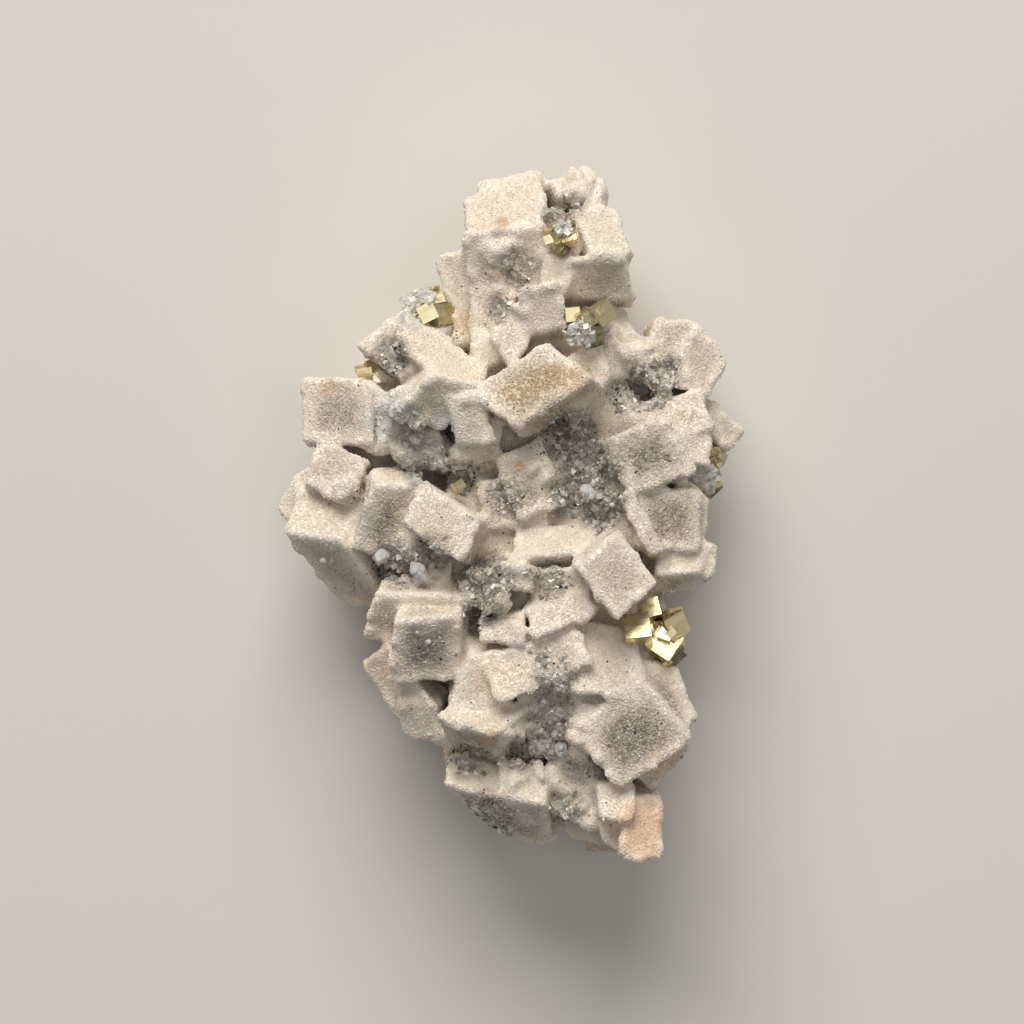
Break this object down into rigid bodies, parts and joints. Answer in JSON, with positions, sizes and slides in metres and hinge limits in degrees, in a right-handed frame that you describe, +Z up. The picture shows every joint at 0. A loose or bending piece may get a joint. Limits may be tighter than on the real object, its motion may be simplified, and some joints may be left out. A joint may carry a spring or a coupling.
{
  "type": "dolomite specimen",
  "caption": "Mineral specimen: a cluster of intergrown cream rhombohedral dolomite crystals, narrow at the crown, with small groups of pyrite cubes and quartz, lying on its flat back.",
  "frame": {"origin": "middle of the cluster's outline, at the level of its flat back", "axes": "+Z up from the flat back, +Y towards the crown, +X to the right seen from above"},
  "size_m": [0.0706, 0.1048, 0.0405],
  "materials": {
    "dolomite": "sugary crystal faces with pearly edges",
    "pyrite": "bright metallic, finely striated",
    "quartz": "milky white, glassy"
  },
  "bodies": {
    "root": {"dolomite_cluster": "dolomite", "pyrite_crown": "pyrite", "pyrite_throat": "pyrite", "pyrite_left_shoulder": "pyrite", "pyrite_left_edge": "pyrite", "pyrite_right": "pyrite", "pyrite_flank": "pyrite", "pyrite_seam": "pyrite", "quartz_left": "quartz", "quartz_lower": "quartz", "quartz_centre": "quartz", "quartz_foot": "quartz"}
  },
  "joints": []
}
